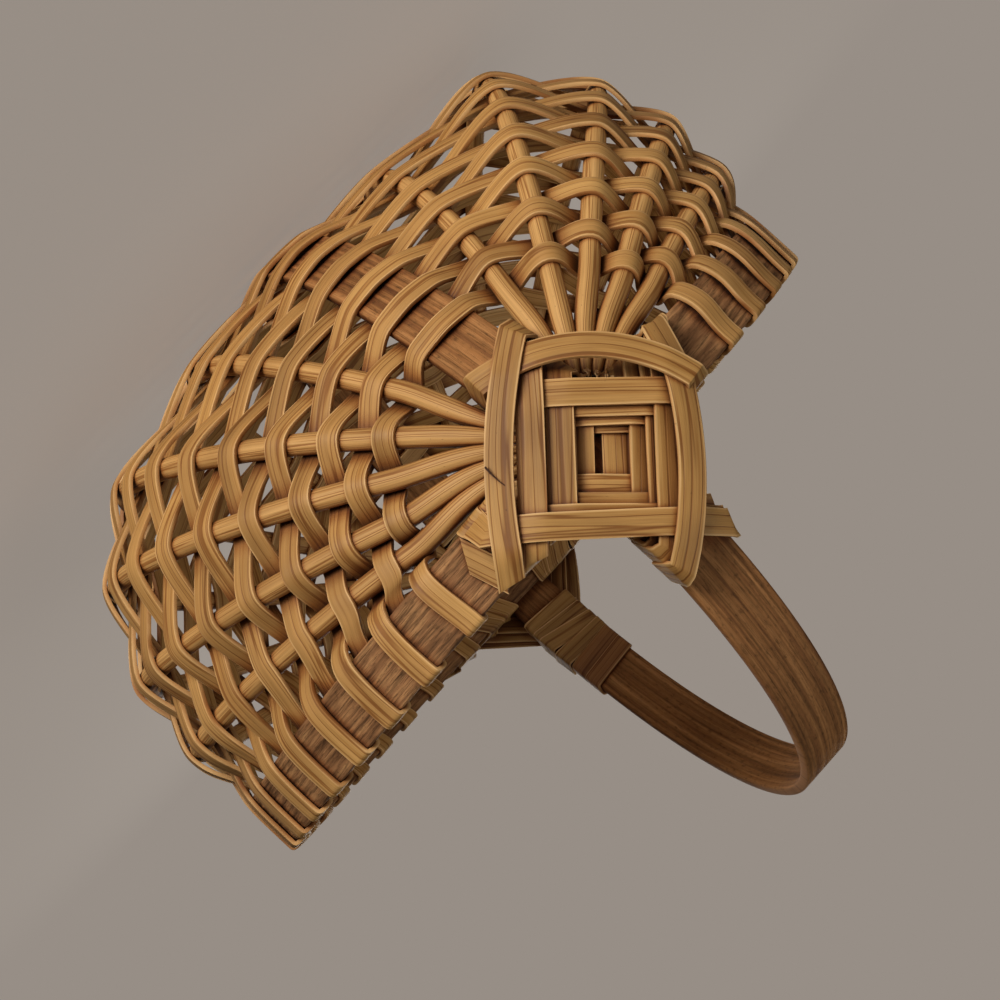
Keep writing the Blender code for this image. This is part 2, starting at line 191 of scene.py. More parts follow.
# %% Bows of the ribs
def rib_shape(side, number):
    """How far a rib stands out from the line between the ears, and its slope, all along it."""
    outs = rib_out_shares_right if side > 0 else rib_out_shares_left
    drops = rib_drop_shares_right if side > 0 else rib_drop_shares_left
    ear_degrees = rib_ear_degrees_right if side > 0 else rib_ear_degrees_left
    middle_reach = hoop_half_length * math.hypot(outs[number], drops[number])
    middle_angle = math.atan2(drops[number], outs[number])
    ear_angle = math.radians(ear_degrees[number])
    reach = middle_reach * np.sin(Bow.angles) ** rib_fullness
    slope = ear_angle + (middle_angle - ear_angle) * np.sin(Bow.angles)
    spread = smooth_step((reach - rib_fan_start) / (rib_fan_end - rib_fan_start))
    pocket_angle = math.radians(rib_pocket_degrees[number])
    return reach, pocket_angle + (slope - pocket_angle) * spread


def rib_bow(side, number):
    reach, slope = rib_shape(side, number)
    x = (hoop_half_length - half_thickness) * np.cos(Bow.angles)
    points = np.stack([x, side * reach * np.cos(slope), -reach * np.sin(slope)], axis=1)
    return Bow(points, rib_diameter / 2, 0.0)


def rib_distance(side, number, stand_out):
    """Distance along a rib at which it stands out so far from the line between the ears."""
    reach = rib_shape(side, number)[0]
    return float(np.interp(stand_out, reach[: Bow.half], rib_bow(side, number).along[: Bow.half]))


def rib_radius(reach):
    """A rib is whittled from its full radius down to its tip, which lies in the pocket."""
    taper = np.clip((reach - rib_tip_reach) / (rib_taper_reach - rib_tip_reach), 0.0, 1.0)
    return rib_tip_radius + (rib_diameter / 2 - rib_tip_radius) * np.sin(taper * math.pi / 2)


# %% All the bows
handle = upright_bow(handle_rise - half_thickness, handle_fullness)
keel = upright_bow(-(keel_drop - half_thickness), keel_fullness)
rims = (rim_bow(1.0), rim_bow(-1.0))
ribs_right = [rib_bow(1.0, number) for number in range(5)]
ribs_left = [rib_bow(-1.0, number) for number in range(5)]
print("rib lengths in mm:", [round(1000 * bow.length) for bow in ribs_right + ribs_left])

# %% [markdown]
# Every reed, rib and hoop starts as a flat grid with its own length and width, like a reed cut
# from the coil. Its vertices are then laid along the path. A curve with a bevel would be quicker,
# but it turns a flat reed about its path as it likes. The grid's UV map is set in metres along
# and across the reed, so that the grain follows every bend.

# %% Selecting
merge_distance = 0.000005
edge_degrees = 50
strip_smooth_degrees = 40
rod_smooth_degrees = 50


def nothing_selected():
    bpy.ops.object.select_all(action="DESELECT")


def only_selected(piece):
    nothing_selected()
    bpy.context.view_layer.objects.active = piece
    piece.select_set(True)


# %% Blanks that are laid along a path
def grid_blank(name, steps_along, steps_across):
    nothing_selected()
    bpy.ops.mesh.primitive_grid_add(
        x_subdivisions=steps_along, y_subdivisions=steps_across, size=1.0, calc_uvs=True
    )
    piece = bpy.context.object
    piece.name = name
    piece.data.name = name
    return piece


def grid_places(piece):
    """Row and column of every vertex of a grid blank, both from 0 to 1."""
    places = np.empty(len(piece.data.vertices) * 3)
    piece.data.vertices.foreach_get("co", places)
    places = places.reshape(-1, 3)
    return places[:, 0] + 0.5, places[:, 1] + 0.5


def set_places(piece, places):
    places = np.array(places) + np.array([0.0, 0.0, rest_height])
    piece.data.vertices.foreach_set("co", places.ravel())
    piece.data.update()


def set_grain_map(piece, along, across):
    """Gives every corner its distance along and across the reed as its UV."""
    corners = np.empty(len(piece.data.loops), dtype=np.int32)
    piece.data.loops.foreach_get("vertex_index", corners)
    pairs = np.stack([along[corners], across[corners]], axis=1)
    piece.data.uv_layers.active.data.foreach_set("uv", pairs.ravel())


def apply_modifier(piece, kind, **settings):
    only_selected(piece)
    modifier = piece.modifiers.new(kind.title(), kind)
    for setting, value in settings.items():
        setattr(modifier, setting, value)
    bpy.ops.object.modifier_apply(modifier=modifier.name)


def merge_doubles(piece):
    """Leaves the piece in edit mode."""
    only_selected(piece)
    bpy.ops.object.mode_set(mode="EDIT")
    bpy.ops.mesh.select_all(action="SELECT")
    bpy.ops.mesh.remove_doubles(threshold=merge_distance)


def smooth_finish(piece, degrees):
    only_selected(piece)
    bpy.ops.object.shade_smooth_by_angle(angle=math.radians(degrees))


def give_body(piece, thickness, edge_round, segments):
    """Gives a laid strip its thickness and its soft edges."""
    apply_modifier(piece, "SOLIDIFY", thickness=thickness, offset=0.0, use_even_offset=False)
    apply_modifier(
        piece, "BEVEL", width=edge_round, segments=segments,
        limit_method="ANGLE", angle_limit=math.radians(edge_degrees),
    )
    smooth_finish(piece, strip_smooth_degrees)


# %% Flat reeds and round ribs
def lay_strip(name, centres, widths, width, thickness, columns=4):
    """A flat reed: a grid laid along the centres, given its thickness and soft edges."""
    widths = unit(widths)
    piece = grid_blank(name, len(centres) - 1, columns)
    along_share, across_share = grid_places(piece)
    index = np.rint(along_share * (len(centres) - 1)).astype(int)
    local_width = np.broadcast_to(width, (len(centres),))
    sideways = (across_share - 0.5) * local_width[index]
    set_places(piece, centres[index] + sideways[:, None] * widths[index])
    set_grain_map(piece, distances_along(centres)[index], (across_share - 0.5) * reed_width)
    give_body(piece, thickness, reed_edge_round, 2)
    return piece


def lay_rod(name, centres, radii, sides):
    """A round rib: a grid rolled round the centres, its seam merged and its ends filled."""
    piece = grid_blank(name, len(centres) - 1, sides)
    along_share, across_share = grid_places(piece)
    index = np.rint(along_share * (len(centres) - 1)).astype(int)
    runs = unit(np.gradient(centres, axis=0))
    outwards = unit(centres - np.sum(centres * runs, axis=1, keepdims=True) * runs)
    sidewards = np.cross(runs, outwards)
    turn = 2.0 * math.pi * across_share
    ring = np.cos(turn)[:, None] * outwards[index] + np.sin(turn)[:, None] * sidewards[index]
    set_places(piece, centres[index] + radii[index][:, None] * ring)
    set_grain_map(piece, distances_along(centres)[index], across_share * math.pi * rib_diameter)
    merge_doubles(piece)
    bpy.ops.mesh.select_all(action="DESELECT")
    bpy.ops.mesh.select_non_manifold()
    bpy.ops.mesh.fill_holes(sides=0)
    bpy.ops.mesh.select_all(action="SELECT")
    bpy.ops.mesh.normals_make_consistent(inside=False)
    bpy.ops.object.mode_set(mode="OBJECT")
    smooth_finish(piece, rod_smooth_degrees)
    return piece


# %% [markdown]
# Both hoops are strips of split wood, bent round and closed on themselves. A ring could be cut
# out of a disc, but then the grain would run through it like through a board. Here each strip is
# laid round the whole ring along its two bows, so the grain bends with it.

# %% Hoops
hoop_steps = 180
hoop_columns = 6
hoop_shaving = 0.0001
hoop_edge_round = 0.0006


def lay_hoop(name, first, second, across):
    forth = np.linspace(0.0, first.length, hoop_steps, endpoint=False)
    back = np.linspace(second.length, 0.0, hoop_steps, endpoint=False)
    centres = np.concatenate([first.point(forth), second.point(back)])
    count = len(centres)
    piece = grid_blank(name, count, hoop_columns)
    along_share, across_share = grid_places(piece)
    index = np.rint(along_share * count).astype(int) % count
    distances = distances_along(centres)
    sideways = (across_share - 0.5) * (hoop_width - hoop_shaving)
    set_places(piece, centres[index] + sideways[:, None] * across)
    set_grain_map(piece, along_share * (distances[-1] + distances[1]), sideways)
    merge_doubles(piece)
    bpy.ops.object.mode_set(mode="OBJECT")
    give_body(piece, hoop_thickness - hoop_shaving, hoop_edge_round, 3)
    return piece


def stand_for(piece, node):
    """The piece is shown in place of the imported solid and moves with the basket."""
    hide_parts(node)
    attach(piece, "root")
    return piece


hoops = [
    stand_for(lay_hoop("handle_hoop_bent", handle, keel, SIDEWAYS), "handle_hoop"),
    stand_for(lay_hoop("rim_hoop_bent", rims[0], rims[1], UPWARDS), "rim_hoop"),
]
print("hoop vertices:", [len(piece.data.vertices) for piece in hoops])

# %% [markdown]
# The ribs are round reed. Their ends are whittled to a point so that five of them fit in the
# pocket between keel and rim. A cylinder could be bent for each, but a rolled grid takes another
# radius at every step, for the whittled ends and for the slight swells that real reed has.

# %% Ribs
rib_steps = 110
rib_sides = 16


def lay_rib(side, number):
    bow = rib_bow(side, number)
    setback = left_rib_setback + left_rib_unevenness * math.sin(3.0 * number) if side < 0 else 0.0
    tip = rib_distance(side, number, rib_tip_reach + setback)
    distances = np.linspace(tip, bow.length - tip, rib_steps)
    radii = rib_radius(np.interp(distances, bow.along, rib_shape(side, number)[0]))
    radii = radii * (1.0 + rib_swell * np.sin(distances * rib_swell_radians_per_metre + number))
    node = f"rib_{'right' if side > 0 else 'left'}_{number + 1}"
    piece = lay_rod(f"{node}_round", bow.point(distances), radii, rib_sides)
    return stand_for(piece, node)


ribs = [lay_rib(side, number) for side in (1.0, -1.0) for number in range(5)]
print("ribs laid:", len(ribs))

# %% [markdown]
# The weaver goes over one rib and under the next, and turns over the rim at each end of a row.
# Between two ribs it makes an S-bend: it leaves the top of one rib level and reaches the back of
# the next one level. A wave laid on a surface would be simpler, but it would miss the turns. So
# every crossing is a node, and a smooth path joins them.

# %% Rows and crossings
weaver_rows = 33
first_row_on_hoops = 0.0468
first_row_on_ribs = 0.0474
first_row_near_left = 0.0500
first_row_far_left = 0.0475
row_drift_most = 0.00016

elements = [rims[0]] + ribs_right[::-1] + [keel] + ribs_left + [rims[1]]
last_element = len(elements) - 1
keel_element = elements.index(keel)
row_drift = chance.uniform(-row_drift_most, row_drift_most, (weaver_rows, len(elements)))


def station(row, element):
    start = first_row_on_ribs
    end = first_row_on_ribs
    if element in (0, keel_element, last_element):
        start = first_row_on_hoops
        end = first_row_on_hoops
    elif element > keel_element:
        start = first_row_near_left
        end = first_row_far_left
    length = elements[element].length
    return start + (length - start - end) * row / (weaver_rows - 1) + row_drift[row, element]


def row_pitch(element):
    return (station(weaver_rows - 1, element) - station(0, element)) / (weaver_rows - 1)


def crossing(row, element, extra=0.0):
    """Centre, tangent and normal of an element where a row crosses it, and the way onwards."""
    bow = elements[element]
    distance = station(row, element) + extra
    centre = bow.point(distance)
    tangent = bow.tangent(distance)
    if bow.flat_half > 0.0:
        normal = bow.normal(distance, SIDEWAYS if element == keel_element else UPWARDS)
        return centre, tangent, normal, np.cross(tangent, normal)
    before = elements[element - 1].point(station(row, element - 1))
    after = elements[element + 1].point(station(row, element + 1))
    normal = unit(np.cross(after - before, tangent))
    onwards = after - before
    return centre, tangent, normal, unit(onwards - np.dot(onwards, normal) * normal)


def outside(row, element):
    return 1.0 if (row + element) % 2 == 0 else -1.0


def lift_off(element):
    return elements[element].radius + reed_half + touch_gap


print("pitch of the rows on the keel in mm:", round(1000 * row_pitch(keel_element), 2))

# %% [markdown]
# A node holds the reed's place, its heading, the direction of its width and the least radius of
# its bend. Over a rib the reed lies on a round back. Over the keel it arches a little, since the
# strip is flat and the reed is stiff.

# %% Nodes over ribs and keel
hoop_arch = 0.0012
hoop_arch_slope = 0.30
hoop_arch_fade = 0.006


def over_rib(row, element, way):
    """Node of the reed on top of a rib."""
    centre, tangent, normal, onwards = crossing(row, element)
    place = centre + outside(row, element) * lift_off(element) * normal
    return place, way * onwards, tangent, lift_off(element)


def over_hoop(row, element, way, share):
    """Node of the reed over the keel: share is -1 and 1 at its edges and 0 at its middle.

    It arches over the wood, but lies flat where the basket stands on it.
    """
    centre, tangent, normal, onwards = crossing(row, element)
    face = outside(row, element) * normal
    free = np.clip((centre[2] + keel_drop - hoop_thickness) / hoop_arch_fade, 0.0, 1.0)
    lift = lift_off(element) + hoop_arch * free * (1.0 - abs(share))
    heading = way * onwards - share * hoop_arch_slope * face
    place = centre + lift * face + way * share * half_width * onwards
    return place, unit(heading), tangent, lift


# %% [markdown]
# At the rim the reed leaves the row, goes over the edge and comes back a row further. The strips
# on the outer face stand straighter than the ones on the inner face, so each face has its own
# leads, counted in rows. Their keys are 1 for the outer face and -1 for the inner one.

# %% Nodes at the rim
rim_bend_radius = 0.012
rim_leads = {1.0: -0.04, -1.0: 0.45}
fold_leads = {1.0: -0.18, -1.0: 1.10}
fold_slant = 0.05
fold_inset = 0.0005
fold_stand = 0.0002


def under_rim(row, element, way, share):
    """Node at the lower edge of the rim, on an even arc from the last rib to the fold."""
    out = outside(row, element)
    pitch = row_pitch(element)
    centre, tangent, normal, onwards = crossing(row, element, -share * rim_leads[out] * pitch)
    place = centre + lift_off(element) * out * normal + way * share * half_width * onwards
    fold = place - way * share * hoop_width * onwards
    fold = fold - share * (fold_leads[out] - rim_leads[out]) * pitch * tangent
    rib = over_rib(row, 1 if element == 0 else last_element - 1, way)[0]
    heading = -share * (unit(place - rib) + unit(fold - place))
    return place, unit(heading), tangent, rim_bend_radius


def rim_turn(row, element):
    """Nodes from one row over the edge of the rim to the next row."""
    outer = 1.0 if element == last_element else -1.0
    pitch = station(row + 1, element) - station(row, element)
    arriving = fold_leads[outside(row, element)]
    leaving = fold_leads[outside(row + 1, element)]
    middle = (1.0 + arriving - leaving) / 2
    nodes = []
    for lead, line, along in ((arriving, row, 1.0), (middle, row, 0.0), (-leaving, row + 1, -1.0)):
        centre, tangent, normal, onwards = crossing(line, element, lead * pitch)
        face = outside(line, element) * normal
        if along == 0.0:
            place = centre + outer * (half_width + reed_half + touch_gap) * onwards
            heading = -face
        else:
            place = centre + outer * (half_width - fold_inset) * onwards
            place = place + (lift_off(element) + fold_stand) * face
            heading = along * outer * onwards
        nodes.append((place, unit(heading + fold_slant * tangent), tangent, 0.0))
    return nodes


# %% Nodes of the rows, the splices and the tucked ends
splices = ((6, 3), (11, 8), (16, 5), (20, 9), (26, 7))
splice_tail = 0.0030
splice_head = 0.0026
hook_inset = 0.0006


def row_nodes(row):
    """Nodes of one row, each after the number of its element."""
    way = 1 if row % 2 == 0 else -1
    nodes = []
    for element in list(range(last_element + 1))[::way]:
        if elements[element].flat_half == 0.0:
            nodes.append((element, over_rib(row, element, way)))
        elif element == keel_element:
            nodes.extend((element, over_hoop(row, element, way, share)) for share in (-1.0, 0.0, 1.0))
        else:
            arriving = (element == last_element) == (way == 1)
            nodes.append((element, under_rim(row, element, way, -1.0 if arriving else 1.0)))
    return nodes


def weaver_nodes():
    """The nodes of each weaver; a reed ends behind a rib, and the next one starts there."""
    paths = [[]]
    for row in range(weaver_rows):
        for element, node in row_nodes(row):
            paths[-1].append(node)
            if (row, element) in splices:
                place, heading, ruling, radius = node
                paths[-1].append((place + splice_tail * heading, heading, ruling, radius))
                paths.append([(place - splice_head * heading, heading, ruling, radius), node])
        if row < weaver_rows - 1:
            paths[-1].extend(rim_turn(row, last_element if row % 2 == 0 else 0))
    return paths


def hook(row, element):
    """The tucked end of the first and of the last reed: over the rim's edge and down inside it."""
    centre, tangent, normal, onwards = crossing(row, element)
    outer = 1.0 if element == last_element else -1.0
    face = outside(row, element)
    rise = lift_off(element)
    near_top = centre + outer * (half_width - hook_inset) * onwards
    top = centre + outer * (half_width + reed_half + touch_gap) * onwards
    return [
        (near_top + face * rise * normal, outer * onwards, tangent, 0.0),
        (top, -face * normal, tangent, 0.0),
        (near_top - face * rise * normal, -outer * onwards, tangent, 0.0),
        (centre - face * rise * normal, -outer * onwards, tangent, 0.0),
    ]


def reversed_nodes(nodes):
    return [(place, -heading, ruling, radius) for place, heading, ruling, radius in nodes[::-1]]


paths = weaver_nodes()
paths[0] = reversed_nodes(hook(0, 0)) + paths[0]
paths[-1] = paths[-1] + hook(weaver_rows - 1, last_element)
print("nodes of each weaver:", [len(path) for path in paths])

# %% [markdown]
# Between two nodes the reed follows a Bezier curve. Its handles are shares of the way ahead, and
# they are made long enough where the bend would be tighter than the round that it lies on.

# %% The smooth path
path_step = 0.0013
least_steps = 5
fold_handle = 0.90
shortest_handle = 0.24
longest_handle = 0.60


def bezier_handles(span, leaving, arriving, radius):
    """Lengths of both handles. No radius is asked of the folds at the rim's edge."""
    if radius == 0.0:
        return fold_handle * abs(np.dot(span, leaving)), fold_handle * abs(np.dot(span, arriving))
    ahead = np.linalg.norm(span)
    drop = np.linalg.norm(np.cross(span, leaving))
    least = math.sqrt(drop * radius * 2 / 3)
    return (min(max(least, shortest_handle * ahead), longest_handle * ahead),) * 2


def smooth_path(nodes):
    """Close points of a smooth curve through the nodes, and the width direction at each."""
    places = []
    rulings = []
    for (start, leaving, first, one), (end, arriving, second, other) in zip(nodes, nodes[1:]):
        handles = bezier_handles(end - start, leaving, arriving, max(one, other))
        count = max(int(np.linalg.norm(end - start) / path_step), least_steps)
        for share in np.arange(count) / count:
            rest = 1.0 - share
            place = rest**3 * start + 3 * rest**2 * share * (start + handles[0] * leaving)
            place = place + 3 * rest * share**2 * (end - handles[1] * arriving) + share**3 * end
            places.append(place)
            rulings.append(first * (1.0 - smooth_step(share)) + second * smooth_step(share))
    places.append(nodes[-1][0])
    rulings.append(nodes[-1][2])
    return np.array(places), unit(np.array(rulings))


# %% Weavers
weavers = []
for number, path in enumerate(paths):
    centres, widths = smooth_path(path)
    piece = lay_strip(f"weaver_{number + 1}_reed", centres, widths, weaver_width, reed_thickness)
    weavers.append(stand_for(piece, f"weaver_{number + 1}"))
print("weaver vertices:", [len(piece.data.vertices) for piece in weavers])

# %% [markdown]
# Each ear is lashed with one long reed. It crosses the front of an arm, goes round it behind and
# sets off to the next arm, so the four sides of every turn cross on the arms. Every turn lies on
# the one before it. To find where the reed rests, the ear is kept as a field of heights over the
# y-z plane: the reed is stretched over the field like a taut band, and then raises it. A cloth
# simulation could settle it too, but a field gives the same result in every run.

# %% The field of heights at the ear
field_step = 0.0005
field_half = 0.055
field_count = int(2 * field_half / field_step) + 1
field_floor = -1.0
nothing_below = -0.5
field = np.full((field_count, field_count), field_floor)


def field_cells(places):
    cells = np.rint((places[..., 1:] + field_half) / field_step).astype(int)
    return np.clip(cells, 0, field_count - 1)


def raise_field(places):
    cells = field_cells(places)
    np.maximum.at(field, (cells[..., 0], cells[..., 1]), places[..., 0])


def field_height(places):
    cells = field_cells(places)
    return field[cells[..., 0], cells[..., 1]]


# %% The arms of the hoops
class Arm:
    """One of the four arms of the hoops at an ear; the reed arrives from the arm before it."""

    def __init__(self, bow, plan, arriving, across):
        self.bow = bow
        self.plan = np.array(plan)
        self.arriving = np.array(arriving)
        self.across = across
        self.line = bow.points[: Bow.half]
        self.reaches = np.abs(self.line @ self.plan)

    def distance(self, reach):
        return np.interp(reach, self.reaches, self.bow.along[: len(self.reaches)])

    def place(self, distance, sideways, height):
        normal = self.bow.normal(distance, self.across)
        return self.bow.point(distance) + sideways[..., None] * self.arriving + height[..., None] * normal

    def find(self, place):
        """Distance along the arm, sideways place and height over its middle, of a point."""
        offsets = place - self.line
        sideways = offsets @ self.arriving
        offsets = offsets - sideways[:, None] * self.arriving
        nearest = int(np.argmin(np.linalg.norm(offsets, axis=1)))
        distance = self.bow.along[nearest]
        height = float(np.dot(offsets[nearest], self.bow.normal(distance, self.across)))
        return np.array([distance, sideways[nearest], height])


arms = (
    Arm(handle, (0.0, 0.0, 1.0), (0.0, 1.0, 0.0), SIDEWAYS),
    Arm(rims[1], (0.0, -1.0, 0.0), (0.0, 0.0, 1.0), UPWARDS),
    Arm(keel, (0.0, 0.0, -1.0), (0.0, -1.0, 0.0), SIDEWAYS),
    Arm(rims[0], (0.0, 1.0, 0.0), (0.0, 0.0, -1.0), UPWARDS),
)

# %% Hoops and ribs in the field
sample_step = 0.0003
rib_field_start = 0.012
rib_field_end = 0.060
rib_face_turns = np.linspace(-1.4, 1.4, 15)

for arm in arms:
    across = np.linspace(-half_width, half_width, 60)
    distances, sideways = np.meshgrid(np.arange(0.0, field_half, sample_step), across)
    raise_field(arm.place(distances, sideways, np.full(distances.shape, half_thickness)))

for bow in ribs_right + ribs_left:
    distances = np.arange(rib_field_start, rib_field_end, sample_step)
    centres = bow.point(distances)
    sidewards = unit(np.cross(bow.tangent(distances), OUTWARDS))
    reach = np.linalg.norm(centres[:, 1:], axis=1)
    radius = np.where(reach < rib_tip_reach, 0.0, rib_radius(reach))[:, None]
    for turn in rib_face_turns:
        raise_field(centres + radius * (math.cos(turn) * OUTWARDS + math.sin(turn) * sidewards))
print("cells with something in them:", int((field > nothing_below).sum()))

# %% [markdown]
# A reed rests on the highest places under it. Across its width it is a stiff board that settles
# on them. Along its length it is pulled tight, so it follows the upper hull of those heights.
# Before the hull is taken, each resting place is rounded, for a reed can't bend sharply. The
# reaches say how far from the middle of the ear each turn crosses the arms, in the order handle,
# left rim, keel and right rim. They were read off the photograph.

# %% Reaches of the lashing
lashing_turns = (
    (0.0147, 0.0073, 0.0067, 0.0043),
    (0.0147, 0.0160, 0.0090, 0.0102),
    (0.0209, 0.0208, 0.0114, 0.0108),
    (0.0250, 0.0233, 0.0143, 0.0203),
)
lashing_last_starts = (0.0281, 0.0262, 0.0188, 0.0246)
lashing_last_ends = (0.0262, 0.0218, 0.0190, 0.0271)
lashing_last_bulges = (0.0000, 0.0038, 0.0070, 0.0034)
lashing_last_insets = (0.0046, 0.0004, 0.0014, 0.0026)
print("sides of the lashing:", 4 * len(lashing_turns) - 1 + len(lashing_last_starts))

# %% Settling and pulling tight
lashing_bend_radius = 0.007
slopes = np.linspace(-0.45, 0.45, 37)
slope_cost = 0.0006


def settle(places, offsets):
    """Height of the middle and slope of rulings that settle on the field."""
    heights = field_height(places)
    resting = np.max(heights[:, :, None] - offsets[:, :, None] * slopes, axis=1)
    best = np.argmin(resting + slope_cost * np.abs(slopes), axis=1)
    rows = np.arange(len(best))
    return resting[rows, best], slopes[best]


def taut(along, heights):
    """The upper hull of the heights, each of them first rounded by the reed's stiffness."""
    drop = (along[:, None] - along[None, :]) ** 2 / (2 * lashing_bend_radius)
    rounded_heights = np.max(heights[None, :] - drop, axis=1)
    hull = [0]
    for index in range(1, len(along)):
        while len(hull) > 1:
            first, last = hull[-2], hull[-1]
            rise_before = (rounded_heights[last] - rounded_heights[first]) * (along[index] - along[first])
            rise_over = (rounded_heights[index] - rounded_heights[first]) * (along[last] - along[first])
            if rise_before > rise_over:
                break
            hull.pop()
        hull.append(index)
    return np.interp(along, along[hull], rounded_heights[hull])


# %% A side on the front
lashing_thickness = 0.0009
lashing_sink = 0.00012
lashing_start_inset = 0.0020
lashing_end_inset = -0.0006
lashing_fold_run = 0.007
lashing_bulge_lift = 0.2


def lashing_front(side, first_reach, last_reach, bulge, inset):
    """Inner and outer edge of the reed on the front, from one arm to the next."""
    start = arms[side - 1]
    finish = arms[side]
    start_edge = half_width - inset
    end_edge = half_width - lashing_end_inset
    start_drift = start.bow.point(start.distance(first_reach)) @ start.arriving
    finish_drift = finish.bow.point(finish.distance(last_reach)) @ finish.arriving
    begin = start.plan * (first_reach + start_edge) + start.arriving * (start_edge + start_drift)
    end = finish.plan * (last_reach + end_edge) - finish.arriving * (end_edge - finish_drift)
    length = np.linalg.norm(end - begin)
    share = np.linspace(0.0, 1.0, int(length / field_step))[:, None]
    square = unit(start.plan + finish.plan)
    swell = 4.0 * share * (1.0 - share)
    middle = begin + (end - begin) * share + square * bulge * swell
    run = distances_along(middle)
    across = np.cross(OUTWARDS, unit(np.gradient(middle, run, axis=0)))
    across = across * np.sign(across @ square)[:, None]
    leaving = smooth_step(run / lashing_fold_run)[:, None]
    arriving = smooth_step((run[-1] - run) / lashing_fold_run)[:, None]
    ruling = unit(start.plan * (1.0 - leaving) + finish.plan * (1.0 - arriving) + across)
    stretch = reed_width / np.sum(ruling * across, axis=1)
    offsets = np.linspace(-0.5, 0.5, 13) * stretch[:, None]
    places = middle[:, None, :] + offsets[:, :, None] * ruling[:, None, :]
    heights, slope = settle(places, offsets)
    lift = lashing_thickness / 2 + lashing_bulge_lift * bulge * swell[:, 0] ** 2
    inner_edge = middle - ruling * stretch[:, None] / 2
    outer_edge = middle + ruling * stretch[:, None] / 2
    inner_edge[:, 0] = taut(run, heights - slope * stretch / 2) + lift
    outer_edge[:, 0] = taut(run, heights + slope * stretch / 2) + lift
    shares = np.linspace(0.0, 1.0, 21)[None, :, None]
    surface = inner_edge[:, None, :] * (1.0 - shares) + outer_edge[:, None, :] * shares
    surface[..., 0] += lashing_thickness / 2 - lashing_sink
    raise_field(surface)
    return inner_edge, outer_edge


# %% Behind an arm
lashing_shingle = 0.0004
lashing_turn_ease = 0.0014
lashing_wrap_step = 0.0024
lashing_edge_inset = 0.0006
lashing_side_half = 0.0037
lashing_back_half = 0.0031
lashing_edge_rise = 0.75
lashing_hidden_rise = 0.20
lashing_back_shifts = (0.0050, 0.0040, 0.0045, 0.0030, 0.0000)
nearly_half = 0.48


def rounded(nodes, ease, step):
    """Close points along straight runs between the nodes, with the turns rounded off."""
    places = [nodes[0]]
    for before, here, after in zip(nodes, nodes[1:], nodes[2:]):
        arrive = here - before
        leave = after - here
        reach = min(ease, nearly_half * np.linalg.norm(arrive), nearly_half * np.linalg.norm(leave))
        start = here - unit(arrive) * reach
        end = here + unit(leave) * reach
        count = int(np.linalg.norm(start - places[-1]) / step)
        origin = places[-1]
        for number in range(1, count + 1):
            places.append(origin + (start - origin) * number / (count + 1))
        for share in np.linspace(0.0, 1.0, 7):
            places.append((1 - share) ** 2 * start + 2 * share * (1 - share) * here + share**2 * end)
    places.append(nodes[-1])
    return np.array(places)


def lashing_wrap(arm, before, after, back_shift, rise):
    """The reed's way round the far edge of an arm, behind it and up its other edge."""
    starts = [arm.find(point) for point in before]
    ends = [arm.find(point) for point in after]
    far = (starts[0][0] + starts[1][0]) / 2 + lashing_edge_inset
    near = (ends[0][0] + ends[1][0]) / 2 + lashing_edge_inset
    nodes = []
    for first, last, end in zip(starts, ends, (-1.0, 1.0)):
        out = lashing_thickness / 2 + lashing_shingle * (1.0 - end) / 2
        low = -half_thickness - out
        nodes.append([
            first,
            (far + end * lashing_side_half, -half_width - out, lashing_edge_rise * first[2]),
            (far - back_shift + end * lashing_back_half, -half_width - out, low),
            (near - back_shift + end * lashing_back_half, half_width + out, low),
            (near + end * lashing_side_half, half_width + out, rise * last[2]),
            last,
        ])
    pairs = [np.concatenate(pair) for pair in zip(*nodes)]
    path = rounded(pairs, lashing_turn_ease, lashing_wrap_step)
    inner = arm.place(path[:, 0], path[:, 1], path[:, 2])
    outer = arm.place(path[:, 3], path[:, 4], path[:, 5])
    return inner[1:-1], outer[1:-1]


# %% The whole lashing
lashing_wander = 0.0003


def lashing_edges():
    """Both edges of the whole reed, from its hidden start at the hub to its tucked tail."""
    turns = [(side, turn[side], turn[side], 0.0) for turn in lashing_turns for side in range(4)]
    sides = [turn + (lashing_start_inset,) for turn in turns[1:]]
    lasts = (lashing_last_starts, lashing_last_ends, lashing_last_bulges, lashing_last_insets)
    sides.extend(zip(range(4), *lasts))
    parts = []
    front = None
    for number, (side, first_reach, last_reach, bulge, inset) in enumerate(sides):
        wander = chance.uniform(-lashing_wander, lashing_wander, 2)
        next_front = lashing_front(side, first_reach + wander[0], last_reach + wander[1], bulge, inset)
        if front:
            before = (front[0][-1], front[1][-1])
            after = (next_front[0][0], next_front[1][0])
            rise = lashing_hidden_rise if inset > 2 * lashing_start_inset else lashing_edge_rise
            back_shift = lashing_back_shifts[(number + 1) // 4]
            parts.append(lashing_wrap(arms[side - 1], before, after, back_shift, rise))
        front = next_front
        parts.append(front)
    return [np.concatenate(edge) for edge in zip(*parts)]


inner_edge, outer_edge = lashing_edges()
print("lashing stations:", len(inner_edge))

# %% [markdown]
# Two details finish the lashings. At the back ear the reed goes on round the handle for two more
# turns. At the front ear its cut end lies slanting across the rim, where the last side holds it.
# Both are short strips that are laid on the arms in the same way.

# %% Binding and tucked end
binding_start = 0.0354
binding_pitch = 0.0058
binding_turns = 2
binding_depth = 0.0003
binding_ease = 0.0012
binding_step = 0.002
tucked_from = (0.0362, 0.0039)
tucked_to = (0.0336, 0.0135)
tucked_slant = (4.4, -7.1)
tucked_width = 1.4 * reed_width


def joined(pieces):
    nothing_selected()
    for piece in pieces:
        piece.select_set(True)
    bpy.context.view_layer.objects.active = pieces[0]
    bpy.ops.object.join()
    return pieces[0]


